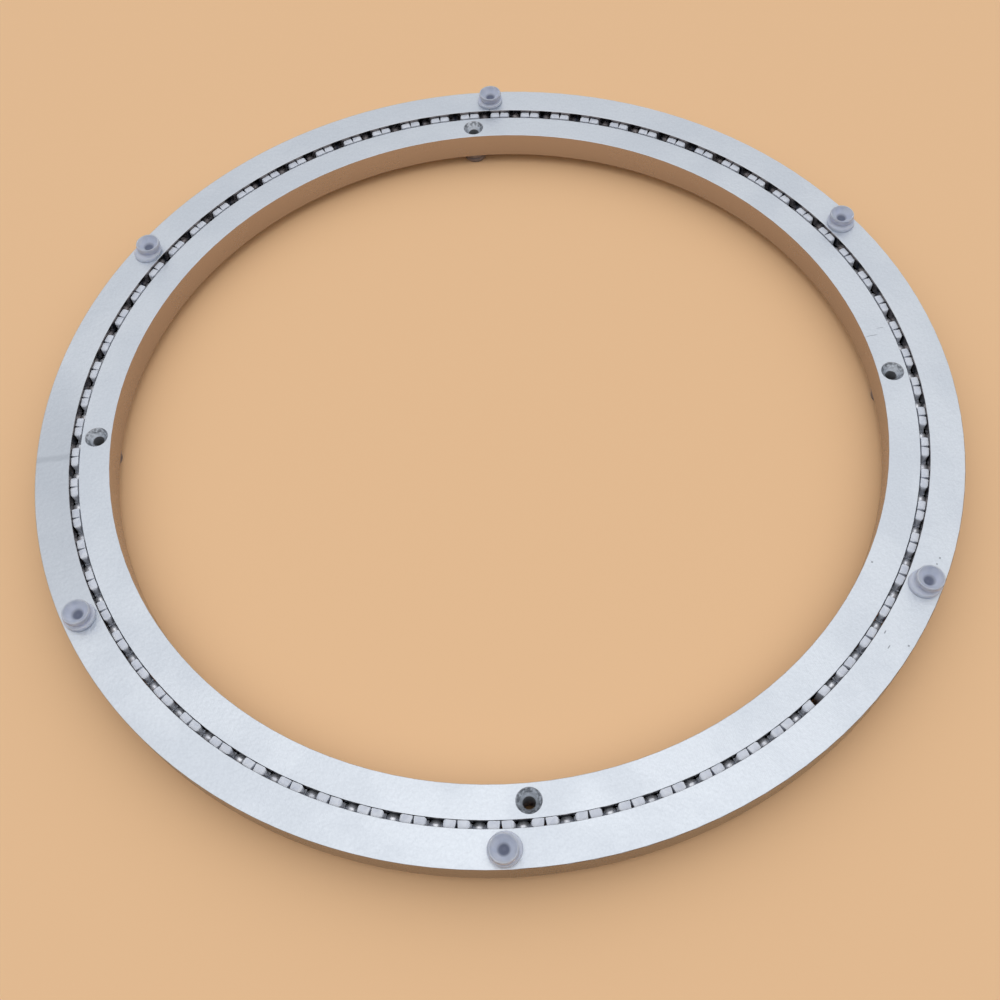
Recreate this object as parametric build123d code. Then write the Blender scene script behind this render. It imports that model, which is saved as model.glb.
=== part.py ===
# Turntable bearing: two aluminium rings, one turning inside the other on a row of
# steel balls. Each ball sits in its own moulded retainer, soft grommets on the outer
# ring carry the table top, and the same grommets under the inner ring are its feet.
# Millimetres, +Z up, origin on the surface it stands on, under the rings' centre.
from build123d import *
from math import atan, cos, degrees, radians, sqrt
import os

# Rings
outer_diameter = 350.0
outer_land = 12.5
inner_land = 11.45
race_gap = 3.05
ring_height = 11.3
ring_step = 1.6
edge_round = 0.2

# Balls, with the clearance that each groove and each pocket leaves all round them
ball_diameter = 4.76
groove_clearance = 0.15
pocket_clearance = 0.08

# Retainers: one moulded block to a ball, standing in the gap between the rings
retainer_length = 13.49
retainer_side_gap = 0.15
retainer_proud = 0.4
retainer_end_relief = 0.3
retainer_corner_round = 0.4
pocket_grip = 0.08
mouth_spread = 0.4
mouth_round = 0.8
prong_root = 1.1
prong_set_back = 0.15

# The row of retainers: seams are tight across from the one wide gap and looser near it
seam_tight = 0.07
seam_spread = 0.28
wide_gap_direction = 307.0
arc_count = 8

# Screw holes, countersunk on the side away from the grommet
hole_diameter = 4.3
countersink_diameter = 8.7
countersink_depth = 2.8
inner_hole_count = 4
outer_hole_count = 6
outer_ring_turn = -2.9

# Grommets, used as top pads and as feet
grommet_height = 4.8
flange_diameter = 11.2
flange_thickness = 1.6
neck_diameter = 8.6
neck_height = 0.9
flange_round = 0.5
lip_diameter = 9.8
lip_round = 0.4
dish_diameter = 8.4
dish_depth = 2.2
stem_diameter = 6.4
stem_length = 2.6
stem_lead_in = 0.3
socket_clearance = 0.05
socket_extra_depth = 0.2
edge_share = 0.8
same_place = 1e-4

# Places worked out from the sizes
outer_radius = outer_diameter / 2
race_outer_radius = outer_radius - outer_land
race_inner_radius = race_outer_radius - race_gap
bore_radius = race_inner_radius - inner_land
ball_circle_radius = (race_outer_radius + race_inner_radius) / 2
inner_hole_radius = (bore_radius + race_inner_radius) / 2
outer_hole_radius = (race_outer_radius + outer_radius) / 2

inner_ring_base = grommet_height
outer_ring_base = inner_ring_base + ring_step
ball_plane = (inner_ring_base + outer_ring_base + ring_height) / 2
outer_ring_top = outer_ring_base + ring_height

ball_radius = ball_diameter / 2
groove_radius = ball_radius + groove_clearance
pocket_radius = ball_radius + pocket_clearance
retainer_sag = retainer_length**2 / (8 * ball_circle_radius)
retainer_thickness = race_gap - retainer_sag - 2 * retainer_side_gap
retainer_height = ring_height - ring_step + 2 * retainer_proud
retainer_inner_face = race_inner_radius + retainer_side_gap
retainer_angle = 2 * degrees(atan(retainer_length / 2 / retainer_inner_face))


def places(count, radius, first_angle):
    # Centres of holes spaced evenly on a circle.
    return PolarLocations(radius, count, first_angle)


def ring_blank(inner_radius, width, base):
    # Rounded rectangle turned about the axis, with the ball groove cut in its race wall.
    middle = Pos(inner_radius + width / 2, base + ring_height / 2)
    section = middle * RectangleRounded(width, ring_height, edge_round)
    section -= Pos(ball_circle_radius, ball_plane) * Circle(groove_radius)
    return revolve(Plane.XZ * section, Axis.Z)


def screw_hole():
    # Cutting tool with its grommet socket at z = 0 and its countersink ring_height above.
    hole_radius = hole_diameter / 2
    socket_radius = stem_diameter / 2 + socket_clearance
    socket_depth = stem_length + socket_extra_depth
    outline = Polyline(
        (0, 0),
        (socket_radius, 0),
        (socket_radius, socket_depth),
        (hole_radius, socket_depth),
        (hole_radius, ring_height - countersink_depth),
        (countersink_diameter / 2, ring_height),
        (0, ring_height),
        close=True,
    )
    return revolve(Plane.XZ * make_face(outline), Axis.Z)


def make_inner_ring():
    ring = ring_blank(bore_radius, inner_land, inner_ring_base)
    for place in places(inner_hole_count, inner_hole_radius, 0):
        ring -= Pos(0, 0, inner_ring_base) * place * screw_hole()
    return ring


def make_outer_ring():
    # The outer ring's holes open downwards, so the tool is turned over.
    ring = ring_blank(race_outer_radius, outer_land, outer_ring_base)
    for place in places(outer_hole_count, outer_hole_radius, outer_hole_first):
        ring -= Pos(0, 0, outer_ring_top) * place * Rot(180, 0, 0) * screw_hole()
    return ring


def grommet():
    # Stem down into its socket, flange on the ring's face at z = 0, dished lip on top.
    grommet_bore_radius = hole_diameter / 2
    stem_radius = stem_diameter / 2
    neck_base = flange_thickness
    lip_base = flange_thickness + neck_height
    lip_radius = lip_diameter / 2
    dish_radius = dish_diameter / 2
    outline = Polyline(
        (grommet_bore_radius, -stem_length),
        (stem_radius - stem_lead_in, -stem_length),
        (stem_radius, stem_lead_in - stem_length),
        (stem_radius, 0),
        (flange_diameter / 2, 0),
        (flange_diameter / 2, neck_base),
        (neck_diameter / 2, neck_base),
        (neck_diameter / 2, lip_base),
        (lip_radius, lip_base),
        (lip_radius, grommet_height),
        (dish_radius, grommet_height),
        (grommet_bore_radius, grommet_height - dish_depth),
        close=True,
    )
    section = make_face(outline)
    rim = section.vertices().filter_by(is_at(lip_radius, grommet_height))
    section = fillet(rim, min(lip_round, edge_share * (lip_radius - dish_radius)))
    flange_edge = section.vertices().filter_by(is_at(flange_diameter / 2, neck_base))
    section = fillet(flange_edge, min(flange_round, edge_share * flange_thickness))
    return revolve(Plane.XZ * section, Axis.Z)


def is_at(x, y):
    # Test for the sketch corner at a given place.
    return lambda corner: abs(corner.X - x) < same_place and abs(corner.Y - y) < same_place


def retainer_face():
    # Seen from the rings' centre: a round pocket for the ball, and above it two prongs
    # that hold the ball at the throat and lean apart from there to the mouth.
    half_length = retainer_length / 2
    half_height = retainer_height / 2
    throat = ball_radius - pocket_grip
    throat_height = sqrt(pocket_radius**2 - throat**2)
    mouth = throat + mouth_spread
    opening = Polyline(
        (-throat, 0),
        (-throat, throat_height),
        (-mouth, half_height),
        (mouth, half_height),
        (throat, throat_height),
        (throat, 0),
        close=True,
    )
    face = Rectangle(retainer_length, retainer_height)
    face -= Circle(pocket_radius)
    face -= make_face(opening)
    for side in (-1, 1):
        lip = face.vertices().filter_by(is_at(side * mouth, half_height))
        face = fillet(lip, mouth_round)
        for end in (-1, 1):
            corner = face.vertices().filter_by(is_at(side * half_length, end * half_height))
            face = fillet(corner, retainer_corner_round)
    return face


def prong_gap():
    # Tool that takes the corners off the prongs' facing sides.
    half_gap = ball_radius - pocket_grip + prong_set_back
    middle = retainer_inner_face + retainer_thickness / 2 - ball_circle_radius
    prong_radius = retainer_thickness / 2
    room = Pos(middle, 0) * Rectangle(2 * race_gap, 2 * (half_gap + prong_radius))
    for side in (-1, 1):
        room -= Pos(middle, side * (half_gap + prong_radius)) * Circle(prong_radius)
    return extrude(room, retainer_height)


def make_retainer():
    # The face goes through the gap's width, and its ends are cut to the ring's curve:
    # they meet the neighbours on the inner side and stand apart on the outer side.
    # Seen from above, the two prongs are round where they face each other.
    half_in = retainer_length / 2
    half_out = half_in - retainer_end_relief
    outer_face = retainer_inner_face + retainer_thickness
    front = Plane((retainer_inner_face, 0, ball_plane), x_dir=(0, 1, 0), z_dir=(1, 0, 0))
    block = extrude(front * retainer_face(), retainer_thickness)
    plan = Polyline(
        (retainer_inner_face, -half_in),
        (outer_face, -half_out),
        (outer_face, half_out),
        (retainer_inner_face, half_in),
        close=True,
    )
    level = Plane((0, 0, ball_plane))
    block &= extrude(level * make_face(plan), retainer_height / 2, both=True)
    between = level * Pos(ball_circle_radius, 0, prong_root) * prong_gap()
    return block - between


def seam_angle(direction):
    # Width of the seam at a direction, as an angle seen from the centre.
    nearness = cos(radians(direction - wide_gap_direction) / 2) ** 2
    return degrees((seam_tight + seam_spread * nearness) / ball_circle_radius)


def retainer_directions():
    # As many retainers as the circle holds, run round from one side of the wide gap.
    mean_seam = degrees((seam_tight + seam_spread / 2) / ball_circle_radius)
    count = int(360 / (retainer_angle + mean_seam))
    wide_gap = 360 - count * retainer_angle - (count - 1) * mean_seam
    edge = wide_gap_direction + wide_gap / 2
    directions = []
    for _ in range(count):
        directions.append(edge + retainer_angle / 2)
        edge += retainer_angle
        edge += seam_angle(edge)
    return directions


def arcs(angles):
    # The row shared out into arcs of neighbours.
    ends = [round(number * len(angles) / arc_count) for number in range(arc_count + 1)]
    return [angles[start:end] for start, end in zip(ends, ends[1:])]


outer_hole_first = 90 + outer_ring_turn
directions = retainer_directions()
one_retainer = make_retainer()
one_ball = Pos(ball_circle_radius, 0, ball_plane) * Sphere(ball_radius)
pad = Pos(0, 0, outer_ring_top) * grommet()
foot = Pos(0, 0, inner_ring_base) * Rot(180, 0, 0) * grommet()

nodes = {
    "outer_ring": make_outer_ring(),
    "inner_ring": make_inner_ring(),
}
for number, arc in enumerate(arcs(directions), 1):
    nodes[f"retainers_{number}"] = Compound([Rot(0, 0, angle) * one_retainer for angle in arc])
    nodes[f"balls_{number}"] = Compound([Rot(0, 0, angle) * one_ball for angle in arc])
for number, place in enumerate(places(outer_hole_count, outer_hole_radius, outer_hole_first), 1):
    nodes[f"top_pad_{number}"] = Pos(place.position) * pad
for number, place in enumerate(places(inner_hole_count, inner_hole_radius, 0), 1):
    nodes[f"foot_{number}"] = Pos(place.position) * foot

os.makedirs("parts", exist_ok=True)
for name, solid in nodes.items():
    export_step(solid, f"parts/{name}.step")
print("retainers", len(directions), "bore radius", round(bore_radius, 2))
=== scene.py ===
# Turntable ring bearing: finishes, soft pads, floor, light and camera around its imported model.
# Metres, +Z up, as the model is; sizes named ...Mm are millimetres.
import math
import bmesh
import bpy
from mathutils import Matrix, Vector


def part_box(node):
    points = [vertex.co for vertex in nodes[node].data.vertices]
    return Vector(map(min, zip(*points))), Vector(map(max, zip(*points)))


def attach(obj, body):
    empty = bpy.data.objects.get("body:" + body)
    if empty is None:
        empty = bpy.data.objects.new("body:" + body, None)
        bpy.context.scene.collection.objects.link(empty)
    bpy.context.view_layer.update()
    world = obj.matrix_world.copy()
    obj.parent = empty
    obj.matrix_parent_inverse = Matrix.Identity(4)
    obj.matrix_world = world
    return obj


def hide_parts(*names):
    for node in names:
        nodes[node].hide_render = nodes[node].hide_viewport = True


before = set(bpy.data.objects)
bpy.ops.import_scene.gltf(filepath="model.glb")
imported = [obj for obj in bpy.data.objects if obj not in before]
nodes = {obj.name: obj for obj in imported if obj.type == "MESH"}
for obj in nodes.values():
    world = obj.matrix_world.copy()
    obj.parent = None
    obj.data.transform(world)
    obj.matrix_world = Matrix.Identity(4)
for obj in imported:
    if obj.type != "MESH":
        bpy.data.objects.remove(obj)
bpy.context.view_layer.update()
mm = 0.001
print("frame loaded:", len(nodes), "nodes")

# Settings that many nodes share
softStep = {"interpolation_type": "SMOOTHSTEP"}
ofColours = {"data_type": "RGBA"}
withSeed = {"noise_dimensions": "4D"}    # its W input draws another pattern of the same kind
noiseSpan = (0.3, 0.7)                   # nearly all of a noise lies in here
patchSpan = (0.35, 0.65)                 # narrower, so that its patches stand out


def linear(hexColour):   # sRGB hex to the linear colour that a socket takes
    channels = [int(hexColour[i:i + 2], 16) / 255 for i in (1, 3, 5)]
    return [c / 12.92 if c <= 0.04045 else ((c + 0.055) / 1.055) ** 2.4 for c in channels] + [1]


# A list of inputs goes to the sockets that the node shows, in their order, and a node given
# as an input stands for the first output that it shows.
def addNode(tree, kind, inputs=(), **settings):
    node = tree.nodes.new("ShaderNode" + kind)
    for name, value in settings.items():
        setattr(node, name, value)
    if not isinstance(inputs, dict):
        shown = [number for number, socket in enumerate(node.inputs) if socket.enabled]
        inputs = dict(zip(shown, inputs))
    for name, value in inputs.items():
        if isinstance(value, bpy.types.Node):
            value = next(socket for socket in value.outputs if socket.enabled)
        if isinstance(value, bpy.types.NodeSocket):
            tree.links.new(value, node.inputs[name])
        else:
            node.inputs[name].default_value = value
    return node


def millimetres(tree):   # a point's place on the model, in millimetres
    place = addNode(tree, "TexCoord").outputs["Object"]
    return addNode(tree, "VectorMath", [place, 1 / mm], operation="SCALE")


def polar(tree, place):   # radius in mm, angle in radians, height in mm
    x, y, z = addNode(tree, "SeparateXYZ", [place]).outputs
    flat = addNode(tree, "CombineXYZ", [x, y])
    radius = addNode(tree, "VectorMath", [flat], operation="LENGTH")
    return radius, addNode(tree, "Math", [y, x], operation="ARCTAN2"), z


def between(tree, value, rise, fall):   # 1 past the rise and before the fall, 0 outside them
    risen = addNode(tree, "MapRange", [value, *rise, 0, 1], **softStep)
    notFallen = addNode(tree, "MapRange", [value, *fall, 1, 0], **softStep)
    return addNode(tree, "Math", [risen, notFallen], operation="MULTIPLY")


def newMaterial(name):
    material = bpy.data.materials.new(name)
    material.use_nodes = True
    tree = material.node_tree
    tree.nodes.clear()
    return material, tree


def finish(tree, inputs, bumps):   # principled shader over a stack of (height, depth in mm)
    for height, depthMm in bumps:
        bump = {"Height": height, "Distance": depthMm * mm, "Strength": 1}
        if "Normal" in inputs:
            bump["Normal"] = inputs["Normal"]
        inputs = {**inputs, "Normal": addNode(tree, "Bump", bump)}
    shader = addNode(tree, "BsdfPrincipled", inputs)
    addNode(tree, "OutputMaterial", {"Surface": shader})


def dress(names, material):
    for name in names:
        slots = nodes[name].data.materials
        if not slots:
            slots.append(material)
        for place in range(len(slots)):
            slots[place] = material


# Camera, at the place the photograph was taken from. Its angles are in degrees.
camera = {
    "place": (0.0010, -0.2539, 0.3729),
    "lookDown": 59.46,
    "turn": -1.4,
    "roll": -3.6,
    "lens": 40.81,
    "shift": (-0.0210, -0.0006),
    "nearest": 0.01,
}


def makeCamera():
    data = bpy.data.cameras.new("camera")
    data.lens = camera["lens"]
    data.shift_x, data.shift_y = camera["shift"]
    data.clip_start = camera["nearest"]
    item = bpy.data.objects.new("camera", data)
    bpy.context.scene.collection.objects.link(item)
    turn = Matrix.Rotation(math.radians(camera["turn"]), 4, "Z")
    tilt = Matrix.Rotation(math.radians(90 - camera["lookDown"]), 4, "X")
    roll = Matrix.Rotation(math.radians(camera["roll"]), 4, "Z")
    item.matrix_world = Matrix.Translation(camera["place"]) @ turn @ tilt @ roll
    bpy.context.scene.camera = item


makeCamera()
print("camera placed")

# Light: a softbox overhead in a pale room, whose walls grow dimmer down to the horizon
light = {
    "boxSize": 1.2,
    "boxPlace": (-0.1, -0.2, 1.5),
    "boxPower": 1.2,
    "boxColour": "#FFFFFF",
    "shadedWallColour": "#808389",
    "ceilingColour": "#FFFFFF",
    "roomStrength": 1.09,
    "upAndAside": (0.06, 0, 1),    # the way in which the room grows brighter
    "mattFrom": (0, 0.5, 1),       # matt surfaces take most of their light from this side
    "mattRange": (0.0, 0.5),
    "mattShare": (0.1, 1.07),
}


def makeLight():
    lamp = bpy.data.lights.new("softbox", "AREA")
    lamp.shape = "SQUARE"
    lamp.size = light["boxSize"]
    lamp.energy = light["boxPower"]
    lamp.color = linear(light["boxColour"])[:3]
    item = bpy.data.objects.new("softbox", lamp)
    item.location = light["boxPlace"]
    bpy.context.scene.collection.objects.link(item)
    world = bpy.data.worlds.new("room")
    world.use_nodes = True
    tree = world.node_tree
    tree.nodes.clear()
    direction = addNode(tree, "TexCoord").outputs["Generated"]
    height = addNode(tree, "VectorMath", [direction, light["upAndAside"]], operation="DOT_PRODUCT")
    share = addNode(tree, "MapRange", [height])
    shades = linear(light["shadedWallColour"]), linear(light["ceilingColour"])
    colour = addNode(tree, "Mix", [share, *shades], **ofColours)
    rays = addNode(tree, "LightPath").outputs
    seen = rays["Is Camera Ray"]     # what is seen, mirrored or seen through shows the plain room
    for ray in (rays["Is Glossy Ray"], rays["Is Transmission Ray"]):
        seen = addNode(tree, "Math", [seen, ray], operation="MAXIMUM")
    farSide = addNode(tree, "VectorMath", [direction, light["mattFrom"]], operation="DOT_PRODUCT")
    matt = addNode(tree, "MapRange", [farSide, *light["mattRange"], *light["mattShare"]], **softStep)
    fall = addNode(tree, "Mix", [seen, matt, 1])
    strength = addNode(tree, "Math", [fall, light["roomStrength"]], operation="MULTIPLY")
    background = addNode(tree, "Background", {"Color": colour, "Strength": strength})
    addNode(tree, "OutputWorld", {"Surface": background})
    bpy.context.scene.world = world
    bpy.context.scene.view_settings.view_transform = "Standard"


makeLight()
print("light set")

# Floor: a table in plain pale apricot paint, rolled on and nearly matt, so that it shows the
# object's soft shadow and no reflection of it
floor = {"size": 4.0, "drop": 0.1 * mm, "colour": "#F5C99B", "roughness": 0.7, "specular": 0.2}


def makeFloor():
    half = floor["size"] / 2
    mesh = bpy.data.meshes.new("floor")
    corners = [(-half, -half, 0), (half, -half, 0), (half, half, 0), (-half, half, 0)]
    mesh.from_pydata(corners, [], [(0, 1, 2, 3)])
    item = bpy.data.objects.new("floor", mesh)
    item.location.z = -floor["drop"]
    bpy.context.scene.collection.objects.link(item)
    material, tree = newMaterial("table_paint")
    finish(tree, {
        "Base Color": linear(floor["colour"]), "Roughness": floor["roughness"],
        "Specular IOR Level": floor["specular"]}, [])
    mesh.materials.append(material)


makeFloor()
print("floor laid")

# Satin anodised aluminium, turned and etched: soft, slightly uneven tone with a fine grain, dark
# grease with painted shade on the race wall, dull turned countersinks, and the odd pit, nick and scratch.
# Upright walls and rounded edges are painted darker and warmer, as painted shade and a painted
# reflection of the warm floor, and the outer ring's left side has a painted darker reflection.
# A rise or a fall is where a finish begins or ends, from and to, in mm of radius or height.
rings = {
    # the wall colour is painted shade and a painted reflection of the warm floor, darker on the outer ring
    "inner_ring": {
        "shadedWallColour": "#B7ADAA", "seed": 3.0, "reflectionSideShade": 0.0,
        "raceRise": (158.25, 158.3), "raceFall": (159.45, 159.5),
        "greaseShadeRise": (5.0, 5.1), "greaseShadeFall": (15.2, 15.7),
        "holes": 4, "holeCircleMm": 153.725, "firstHole": 0.0,
        "sunkRise": (13.18, 13.2), "sunkFall": (15.95, 16.05),
        "well": (12.9, 13.2, 1, 0),                # the straight hole, below its countersink
        "lines": [],
        "nicks": [(327.45, 150.1, 0.35, 0.35), (6.8, 150.9, 0.14, 2.3), (7.9, 155.4, 0.1, 1.5)],
    },
    "outer_ring": {
        "shadedWallColour": "#958D8A", "seed": 8.0, "reflectionSideShade": 0.35,
        "raceRise": (162.45, 162.5), "raceFall": (163.6, 163.65),
        "greaseShadeRise": (6.6, 6.7), "greaseShadeFall": (16.8, 17.3),
        "holes": 6, "holeCircleMm": 168.75, "firstHole": 87.1,
        "sunkRise": (6.45, 6.55), "sunkFall": (9.3, 9.32),
        "well": (9.3, 9.6, 0, 1),                  # above it, as these are countersunk from below
        "lines": [                                 # direction, half width from and to in mm, strength
            (183.2, (0.5, 2.0), 0.4, "dull"),      # a dull band
            (87.2, (0.05, 0.14), 0.85, "darkening"),  # the joint of the rolled ring
        ],
        "nicks": [                                 # direction, radius, half length and half width in mm
            (331.22, 170.76, 0.35, 0.35), (330.3, 170.4, 0.3, 0.3), (318.98, 164.5, 0.7, 0.22),
            (317.57, 168.1, 0.8, 0.2), (319.0, 173.2, 0.35, 0.35),
        ],
    },
}
aluminium = {
    "colours": {
        # the dark tone of pits, scratches, nicks and the joint, and of the race wall's grease with painted
        # shade
        "clean": "#DDE3EB", "patch": "#CDD4DE", "dull": "#A9AFB8", "darkening": "#30343F",
        "sunk": "#D8DDE4", "chatter": "#7A7E84", "well": "#8A8A8C",
    },
    "noises": {              # size in mm, detail, and how far its draw is from the ring's seed
        "patches": (22.0, 3, 0),
        "grain": (0.8, 2, 1),
        "etch": (0.35, 1, 2),    # etched grain is finer than this in fact, and would not show
        "tarnish": (1.3, 4, 6),
    },
    "patchShade": 0.3, "grainShade": 0.1,
    "wallFacing": (0.4, 0.95),       # upright part of the normal, from wall to flat face; it reaches onto the rounded edges, which take the painted wall shade too
    "reflectionSideAt": 190.0, "reflectionSideReach": (0.92, 1.0),    # direction of a painted darker reflection, and the cosine round it
    "pits": (11.0, 0.22, 0.4), "pitDraw": 3, "pitShade": 0.7,    # mm apart, mm across, share of places
    "scratches": [(25, 7.0, 0.12, 0), (-50, 5.0, 0.1, 5)],    # degrees, mm long, mm wide, draw
    "scratchShare": 0.03, "scratchShade": 0.35,
    "scratchesApart": 40, "scratchReach": 0.05,           # how far apart, in widths, and a share of that
    "nickShade": 0.6, "nickEdge": (0.5, 1.2), "topRise": (13.5, 14.5),
    # Turning marks in the countersinks, and how the tarnish breaks them up
    "chatterMm": 0.5712, "chatterLow": 0.7, "chatterInside": 0.2,
    "tarnishWaves": 5, "tarnishSpan": (0.38, 0.6),
    "chatterEdge": (2.5, 3.4), "sunkEdge": (4.3, 4.4), "wellEdge": (2.2, 2.3),    # mm from a hole's axis
    "roughness": (0.4, 0.46), "etchRoughness": 0.03, "wallGloss": 0.2, "wellRoughness": 0.4,
    "wellMetallic": 0.2,
    "etchDepthMm": 0.004, "pitDepthMm": 0.05, "chatterDepthMm": 0.03,
}


def holeDistance(tree, radius, angle, ring):   # mm from the axis of the nearest screw hole
    half = math.pi / ring["holes"]
    turned = addNode(tree, "Math", [angle, math.radians(ring["firstHole"])], operation="SUBTRACT")
    turned = addNode(tree, "Math", [turned, half, -half], operation="WRAP")
    cosine = addNode(tree, "Math", [turned], operation="COSINE")
    sine = addNode(tree, "Math", [turned], operation="SINE")
    along = addNode(tree, "Math", [radius, cosine, -ring["holeCircleMm"]], operation="MULTIPLY_ADD")
    across = addNode(tree, "Math", [radius, sine], operation="MULTIPLY")
    return addNode(tree, "VectorMath", [addNode(tree, "CombineXYZ", [along, across])], operation="LENGTH")


def arcDistance(tree, radius, angle, degrees):   # mm round the ring from a direction
    turned = addNode(tree, "Math", [angle, math.radians(degrees)], operation="SUBTRACT")
    turned = addNode(tree, "Math", [turned, math.pi, -math.pi], operation="WRAP")
    turned = addNode(tree, "Math", [turned], operation="ABSOLUTE")
    return addNode(tree, "Math", [turned, radius], operation="MULTIPLY")


def nickMarks(tree, radius, angle, height, nicks):   # marks at set places on a ring's top face
    marks = 0.0
    for degrees, middle, halfLength, halfWidth in nicks:
        around = arcDistance(tree, radius, angle, degrees)
        along = addNode(tree, "Math", [around, halfLength], operation="DIVIDE")
        across = addNode(tree, "Math", [radius, middle], operation="SUBTRACT")
        across = addNode(tree, "Math", [across, halfWidth], operation="DIVIDE")
        across = addNode(tree, "Math", [across], operation="ABSOLUTE")
        away = addNode(tree, "Math", [along, across], operation="MAXIMUM")
        mark = addNode(tree, "MapRange", [away, *aluminium["nickEdge"], 1, 0], **softStep)
        marks = addNode(tree, "Math", [marks, mark], operation="MAXIMUM")
    onTop = addNode(tree, "MapRange", [height, *aluminium["topRise"], 0, 1], **softStep)
    return addNode(tree, "Math", [marks, onTop], operation="MULTIPLY")


def specks(tree, place, cellMm, sizeMm, share, seed):   # a pit in some of the cells
    cells = addNode(tree, "TexVoronoi", {
        "Vector": place, "W": seed, "Scale": 1 / cellMm}, voronoi_dimensions="4D").outputs
    draw = addNode(tree, "SeparateColor", [cells["Color"]])
    chosen = addNode(tree, "Math", [draw, share], operation="LESS_THAN")
    size = sizeMm / cellMm
    rim = 0.6 * size      # it fades out from here
    near = addNode(tree, "MapRange", [cells["Distance"], rim, size, 1, 0], **softStep)
    return addNode(tree, "Math", [chosen, near], operation="MULTIPLY")


def scratches(tree, place, turn, lengthMm, widthMm, share, seed):   # specks pulled out to lines
    squeezed = addNode(tree, "Mapping", {
        "Vector": place, "Rotation": (0, 0, math.radians(turn)),
        "Scale": (1 / lengthMm, 1 / (aluminium["scratchesApart"] * widthMm), 0)})
    return specks(tree, squeezed, 1.0, aluminium["scratchReach"], share, seed)


def anodisedAluminium(name):
    ring, seed = rings[name], rings[name]["seed"]
    material, tree = newMaterial("anodised_aluminium_" + name.split("_")[0])
    tones = {key: linear(colour) for key, colour in aluminium["colours"].items()}
    place = millimetres(tree)
    radius, angle, height = polar(tree, place)
    noises = {}
    for key, (sizeMm, detail, draw) in aluminium["noises"].items():
        noises[key] = addNode(tree, "TexNoise", {
            "Vector": place, "W": seed + draw, "Scale": 1 / sizeMm, "Detail": detail}, **withSeed)
    etch, tarnish = noises["etch"], noises["tarnish"]
    patches = addNode(tree, "MapRange", [noises["patches"], *patchSpan, 0, 1], **softStep)
    grain = addNode(tree, "MapRange", [noises["grain"], *patchSpan, 0, 1], **softStep)
    # painted reflection: the land is darker round this direction, standing in for a dark reflection
    side = addNode(tree, "Math", [angle, math.radians(aluminium["reflectionSideAt"])], operation="SUBTRACT")
    side = addNode(tree, "Math", [side], operation="COSINE")
    side = addNode(tree, "MapRange", [side, *aluminium["reflectionSideReach"], 0, 1], **softStep)
    facing = addNode(tree, "SeparateXYZ", [addNode(tree, "NewGeometry").outputs["Normal"]]).outputs["Z"]
    facing = addNode(tree, "Math", [facing], operation="ABSOLUTE")
    upright = addNode(tree, "MapRange", [facing, *aluminium["wallFacing"], 1, 0], **softStep)
    # Wear
    pits = specks(tree, place, *aluminium["pits"], seed + aluminium["pitDraw"])
    marks = 0.0
    for turn, lengthMm, widthMm, draw in aluminium["scratches"]:
        lines = scratches(tree, place, turn, lengthMm, widthMm, aluminium["scratchShare"], seed + draw)
        marks = addNode(tree, "Math", [marks, lines], operation="MAXIMUM")
    nicks = nickMarks(tree, radius, angle, height, ring["nicks"])
    # Countersinks: bright where the tool has cut, with turning marks that the tarnish breaks up
    away = holeDistance(tree, radius, angle, ring)
    waves = addNode(tree, "Math", [tarnish, aluminium["tarnishWaves"]], operation="MULTIPLY")
    turns = 2 * math.pi / aluminium["chatterMm"]
    chatter = addNode(tree, "Math", [away, turns, waves], operation="MULTIPLY_ADD")
    chatter = addNode(tree, "Math", [chatter], operation="SINE")
    chatter = addNode(tree, "MapRange", [chatter, -1, 1, aluminium["chatterLow"], 1], **softStep)
    tarnished = addNode(tree, "MapRange", [tarnish, *aluminium["tarnishSpan"], 0, 1], **softStep)
    chatter = addNode(tree, "Math", [tarnished, chatter], operation="MULTIPLY")
    outward = addNode(tree, "MapRange", [
        away, *aluminium["chatterEdge"], aluminium["chatterInside"], 1], **softStep)
    chatter = addNode(tree, "Math", [chatter, outward], operation="MULTIPLY")
    sunkTone = addNode(tree, "Mix", [chatter, tones["sunk"], tones["chatter"]], **ofColours)
    sunkDepth = between(tree, height, ring["sunkRise"], ring["sunkFall"])
    sunk = addNode(tree, "MapRange", [away, *aluminium["sunkEdge"], 1, 0], **softStep)
    sunk = addNode(tree, "Math", [sunk, sunkDepth], operation="MULTIPLY")
    wellTone = addNode(tree, "Mix", [tarnish, tones["chatter"], tones["well"]], **ofColours)
    wellDepth = addNode(tree, "MapRange", [height, *ring["well"]], **softStep)
    well = addNode(tree, "MapRange", [away, *aluminium["wellEdge"], 1, 0], **softStep)
    well = addNode(tree, "Math", [well, wellDepth], operation="MULTIPLY")
    # Grease and painted shade on the race wall, deep in the slot
    race = between(tree, radius, ring["raceRise"], ring["raceFall"])
    greasedAndShaded = between(tree, height, ring["greaseShadeRise"], ring["greaseShadeFall"])
    race = addNode(tree, "Math", [race, greasedAndShaded], operation="MULTIPLY")

    layers = [     # each over the one before: where, how strong, colour
        (patches, aluminium["patchShade"], tones["patch"]),
        (grain, aluminium["grainShade"], tones["dull"]),
        # painted darker reflection on the outer ring's left side
        (side, ring["reflectionSideShade"], tones["dull"]),
        # painted shade and a painted reflection of the warm floor on the upright walls and rounded edges
        (upright, 1, linear(ring["shadedWallColour"])),
        (pits, aluminium["pitShade"], tones["darkening"]),
        (marks, aluminium["scratchShade"], tones["darkening"]),
        (nicks, aluminium["nickShade"], tones["darkening"]),
    ]
    for degrees, halfWidth, strength, tone in ring["lines"]:
        around = arcDistance(tree, radius, angle, degrees)
        line = addNode(tree, "MapRange", [around, *halfWidth, 1, 0], **softStep)
        layers.append((line, strength, tones[tone]))
    # grease with painted shade on the race wall, down in the slot
    layers += [(sunk, 1, sunkTone), (well, 1, wellTone), (race, 1, tones["darkening"])]
    colour = tones["clean"]
    for share, strength, tone in layers:
        share = addNode(tree, "Math", [share, strength], operation="MULTIPLY")
        colour = addNode(tree, "Mix", [share, colour, tone], **ofColours)

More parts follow.
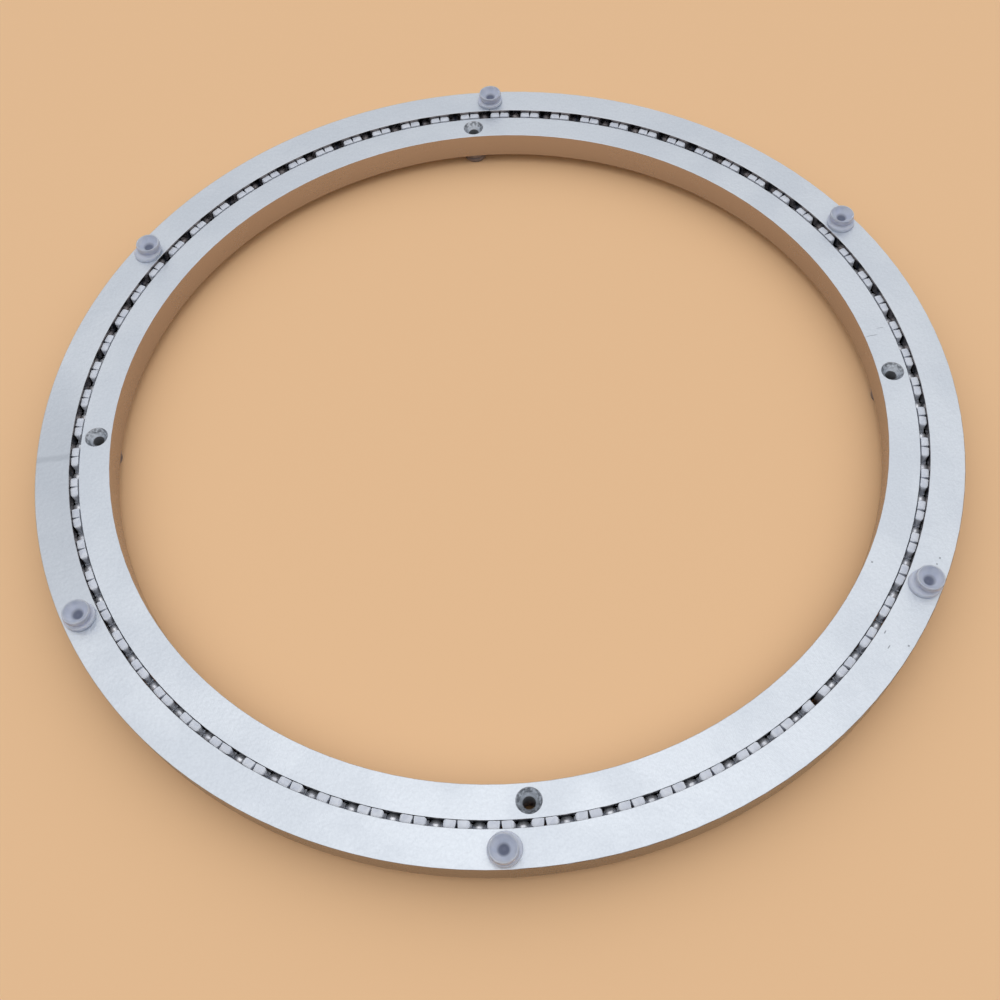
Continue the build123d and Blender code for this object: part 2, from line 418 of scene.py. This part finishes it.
    uneven = aluminium["etchRoughness"]
    etched = addNode(tree, "MapRange", [etch, *noiseSpan, -uneven, uneven], **softStep)
    roughness = addNode(tree, "MapRange", [patches, 0, 1, *aluminium["roughness"]], **softStep)
    roughness = addNode(tree, "Math", [roughness, etched], operation="ADD")
    gloss = addNode(tree, "MapRange", [sunk, 0, 1, aluminium["wallGloss"], 0], **softStep)
    gloss = addNode(tree, "Math", [upright, gloss], operation="MULTIPLY")
    roughness = addNode(tree, "Math", [roughness, gloss], operation="SUBTRACT")
    wellRoughness = addNode(tree, "Math", [well, aluminium["wellRoughness"]], operation="MULTIPLY")
    roughness = addNode(tree, "Math", [roughness, wellRoughness], operation="ADD")
    metallic = addNode(tree, "MapRange", [well, 0, 1, 1, aluminium["wellMetallic"]], **softStep)
    finish(tree, {"Base Color": colour, "Metallic": metallic, "Roughness": roughness}, [
        (etch, aluminium["etchDepthMm"]), (pits, -aluminium["pitDepthMm"]),
        (chatter, aluminium["chatterDepthMm"])])
    return material


for name in rings:
    dress([name], anodisedAluminium(name))
print("rings finished")

# Polished bearing steel under a film of grease: a soft broad glint rather than a mirror.
# Pairs are for bare steel and for the film.
steel = {
    "colours": ("#ECEFF6", "#D8DCE6"), "metallic": (0.75, 0.5), "roughness": (0.3, 0.4),
    "filmMm": 1.3, "filmSpan": (0.4, 0.6), "filmDepthMm": 0.01,
}


def bearingSteel():
    material, tree = newMaterial("bearing_steel")
    film = addNode(tree, "TexNoise", {
        "Vector": millimetres(tree), "Scale": 1 / steel["filmMm"], "Detail": 2}, **withSeed)
    patches = addNode(tree, "MapRange", [film, *steel["filmSpan"], 0, 1], **softStep)
    colour = addNode(tree, "Mix", [patches, *map(linear, steel["colours"])], **ofColours)
    finish(tree, {
        "Base Color": colour,
        "Metallic": addNode(tree, "MapRange", [film, *noiseSpan, *steel["metallic"]], **softStep),
        "Roughness": addNode(tree, "MapRange", [film, *noiseSpan, *steel["roughness"]], **softStep),
    }, [(film, steel["filmDepthMm"])])
    return material


dress([name for name in nodes if name.startswith("balls_")], bearingSteel())
print("balls finished")

# Moulded nylon: milky white with a soft gloss, each block a shade of its own, darker towards
# the bottom with grease and painted shade, down between the rings
nylon = {
    "colour": "#E0E5EF", "shadeColour": "#CBD1DE", "greaseShadeColour": "#343844",
    "ownShade": 0.6, "mottleShade": 0.4, "mottleMm": 2.5, "mottleDepthMm": 0.03,
    "grainMm": 0.3, "grainDepthMm": 0.006,                # a mould's own grain is finer, and would not show
    "greaseShadeMm": (8.0, 11.5), "greaseShadeWaveMm": 0.35,        # height up to which the grease and painted shade reach
    "roughness": (0.4, 0.5), "ior": 1.5, "scatter": 0.35, "scatterMm": 1.2,
}


def mouldedNylon():
    material, tree = newMaterial("moulded_nylon")
    place = millimetres(tree)
    height = addNode(tree, "SeparateXYZ", [place]).outputs["Z"]
    own = addNode(tree, "NewGeometry").outputs["Random Per Island"]
    mottle = addNode(tree, "TexNoise", {
        "Vector": place, "Scale": 1 / nylon["mottleMm"], "Detail": 3}, **withSeed)
    grain = addNode(tree, "TexNoise", {
        "Vector": place, "W": 4, "Scale": 1 / nylon["grainMm"], "Detail": 1}, **withSeed)
    shade = addNode(tree, "MapRange", [mottle, *patchSpan, 0, nylon["mottleShade"]], **softStep)
    shade = addNode(tree, "Math", [own, nylon["ownShade"], shade], operation="MULTIPLY_ADD")
    colour = addNode(tree, "Mix", [
        shade, linear(nylon["colour"]), linear(nylon["shadeColour"])], **ofColours)
    # painted shade: darker lower down between the rings, with the grease
    wave = nylon["greaseShadeWaveMm"]
    level = addNode(tree, "MapRange", [mottle, *noiseSpan, -wave, wave], **softStep)
    level = addNode(tree, "Math", [height, level], operation="ADD")
    darkening = addNode(tree, "MapRange", [level, *nylon["greaseShadeMm"], 1, 0], **softStep)
    colour = addNode(tree, "Mix", [darkening, colour, linear(nylon["greaseShadeColour"])], **ofColours)
    finish(tree, {
        "Base Color": colour,
        "Roughness": addNode(tree, "MapRange", [mottle, *noiseSpan, *nylon["roughness"]], **softStep),
        "IOR": nylon["ior"], "Subsurface Weight": nylon["scatter"], "Subsurface Radius": (1, 1, 1),
        "Subsurface Scale": nylon["scatterMm"] * mm,
    }, [(mottle, nylon["mottleDepthMm"]), (grain, nylon["grainDepthMm"])])
    return material


dress([name for name in nodes if name.startswith("retainers_")], mouldedNylon())
print("retainers finished")

# Moulded silicone: a milky grey-lilac body that lets light through its thin edges, with a
# soft gloss on the rounded rim, and a darker bore that is painted shade. The feet are the same, painted
# darker as painted shade from under the ring.
silicone = {
    "pads": {"colours": ("#DCE1EF", "#CED5E6"), "flangeColour": "#DDE4F8"},    # clear and hazy
    # the feet's darker colours are painted shade from under the ring
    "feet": {"colours": ("#978C8D", "#857B7C")},
    # the bore's colour is painted shade, darker where the hole runs deep
    "boreShadeColour": "#6A7188", "flangeMm": (18.8, 19.5),
    "hazeMm": 3.0, "hazeDepthMm": 0.06,
    "skinMm": 0.5, "skinDepthMm": 0.006,                  # coarser than the real skin, so that it shows
    "thinMm": (20.8, 22.3), "clearness": (0.12, 0.3),     # the body's, and the thin rim's
    "roughness": (0.3, 0.38), "ior": 1.41, "scatter": 0.6, "scatterMm": 1.5,
}


def mouldedSilicone(name):
    own = silicone[name]
    material, tree = newMaterial("moulded_silicone_" + name)
    place = millimetres(tree)
    height = addNode(tree, "SeparateXYZ", [place]).outputs["Z"]
    haze = addNode(tree, "TexNoise", {
        "Vector": place, "Scale": 1 / silicone["hazeMm"], "Detail": 3}, **withSeed)
    skin = addNode(tree, "TexNoise", {
        "Vector": place, "W": 2, "Scale": 1 / silicone["skinMm"], "Detail": 1}, **withSeed)
    hazy = addNode(tree, "MapRange", [haze, *patchSpan, 0, 1], **softStep)
    colour = addNode(tree, "Mix", [hazy, *map(linear, own["colours"])], **ofColours)
    # painted shade: the bore, deep in the moulding, painted a darker slate
    bore = addNode(tree, "Attribute", attribute_name="boreShadeShare").outputs["Fac"]
    colour = addNode(tree, "Mix", [bore, colour, linear(silicone["boreShadeColour"])], **ofColours)
    if "flangeColour" in own:
        flange = addNode(tree, "MapRange", [height, *silicone["flangeMm"], 1, 0], **softStep)
        colour = addNode(tree, "Mix", [flange, colour, linear(own["flangeColour"])], **ofColours)
    thin = addNode(tree, "MapRange", [height, *silicone["thinMm"], *silicone["clearness"]], **softStep)
    finish(tree, {
        "Base Color": colour,
        "Roughness": addNode(tree, "MapRange", [skin, *noiseSpan, *silicone["roughness"]], **softStep),
        "IOR": silicone["ior"], "Transmission Weight": thin,
        "Subsurface Weight": silicone["scatter"], "Subsurface Radius": (1, 1, 1.1),
        "Subsurface Scale": silicone["scatterMm"] * mm,
    }, [(haze, silicone["hazeDepthMm"]), (skin, silicone["skinDepthMm"])])
    return material


# Pads and feet: one moulding, a stem in its socket, a flange, a neck and a thin flared lip
# with a funnel down to its bore, which a web closes on the pads. (radius, height) in mm from the ring's
# face.
moulding = {
    "webMm": [(0, 1.7), (0.9, 1.75), (1.5, 1.95), (1.9, 2.2)],
    "underWebMm": [(1.9, 1.5), (1.2, 1.25), (0, 1.2)],
    "outlineMm": [
        (2.1, 2.4), (2.35, 2.7), (2.85, 3.25), (3.45, 3.85), (3.95, 4.38),          # funnel
        (4.25, 4.7), (4.5, 4.8), (4.74, 4.7), (4.87, 4.35), (4.9, 3.7),             # lip
        (4.87, 3.1), (4.75, 2.72), (4.5, 2.5), (4.3, 2.35), (4.25, 2.1),            # neck
        (4.34, 1.75), (4.7, 1.62), (5.2, 1.6), (5.52, 1.4), (5.6, 0.95),            # flange
        (5.6, 0.3), (5.5, 0.02), (5.1, 0), (4.2, 0), (3.35, 0),
        (3.2, -0.15), (3.2, -1.2), (3.2, -2.3), (3.1, -2.6), (2.6, -2.6),           # stem
        (2.15, -2.6), (2.15, -1.4), (2.15, 0), (2.1, 1.2),                          # bore
    ],
    "segments": 56,
    "padFaceMm": 17.7,         # height of the outer ring's top face
    "footFaceMm": 4.8,         # height of the inner ring's under face
    "pushedMm": (0.5, 2.2),    # a pushed moulding stands still below this and moves fully above it
    "boreMm": (1.45, 2.4),     # radius over which the bore's painted darker shade fades out
    "mergeMm": 0.001,
    "pushes": {                # how far each pad's lip has been pushed aside on its soft neck, in mm
        "top_pad_1": (0.3, 0.0), "top_pad_2": (1.2, 1.1), "top_pad_3": (0.0, 0.0),
        "top_pad_4": (-0.4, -0.7), "top_pad_5": (1.2, 0.25), "top_pad_6": (0.0, 0.65),
    },
}


def makePad(node, faceMm, upward, push, webbed, body, material):
    low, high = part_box(node)
    centre = [(low[i] + high[i]) / 2 for i in (0, 1)]
    segments = moulding["segments"]
    outline = moulding["outlineMm"] + moulding["outlineMm"][:1]
    if webbed:
        outline = moulding["webMm"] + moulding["outlineMm"] + moulding["underWebMm"]
    start, end = moulding["pushedMm"]
    inner, outer = moulding["boreMm"]
    corners, rows, faces, shares = [], [], [], []
    for radius, height in outline:
        share = min(1.0, max(0.0, (height - start) / (end - start)))
        around = segments if radius else 1       # one corner where the web meets the axis
        rows.append([len(corners) + number % around for number in range(segments + 1)])
        for number in range(around):
            # share of the bore's painted shade
            shares.append(min(1.0, max(0.0, (outer - radius) / (outer - inner))))
            turn = 2 * math.pi * number / segments
            corners.append((
                centre[0] + (radius * math.cos(turn) + push[0] * share) * mm,
                centre[1] + (radius * math.sin(turn) + push[1] * share) * mm,
                (faceMm + upward * height) * mm))
    for row, following in zip(rows, rows[1:]):
        for number in range(segments):
            ring = [row[number], row[number + 1], following[number + 1], following[number]]
            face = [corner for place, corner in enumerate(ring) if corner not in ring[:place]]
            faces.append(face if upward < 0 else face[::-1])
    mesh = bpy.data.meshes.new("soft_" + node)
    mesh.from_pydata(corners, [], faces)
    mesh.attributes.new("boreShadeShare", "FLOAT", "POINT").data.foreach_set("value", shares)
    joined = bmesh.new()
    joined.from_mesh(mesh)
    bmesh.ops.remove_doubles(joined, verts=joined.verts, dist=moulding["mergeMm"] * mm)
    joined.to_mesh(mesh)
    joined.free()
    mesh.polygons.foreach_set("use_smooth", [True] * len(mesh.polygons))
    mesh.materials.append(material)
    piece = bpy.data.objects.new("soft_" + node, mesh)
    bpy.context.scene.collection.objects.link(piece)
    smoothing = piece.modifiers.new("smooth", "SUBSURF")
    smoothing.levels = smoothing.render_levels = 1
    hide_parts(node)
    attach(piece, body)


padFinish, shadedFootFinish = mouldedSilicone("pads"), mouldedSilicone("feet")
for node, push in moulding["pushes"].items():
    makePad(node, moulding["padFaceMm"], 1, push, True, "turntable", padFinish)
for number in range(1, 5):
    makePad(f"foot_{number}", moulding["footFaceMm"], -1, (0, 0), False, "base", shadedFootFinish)
print("pads and feet made")
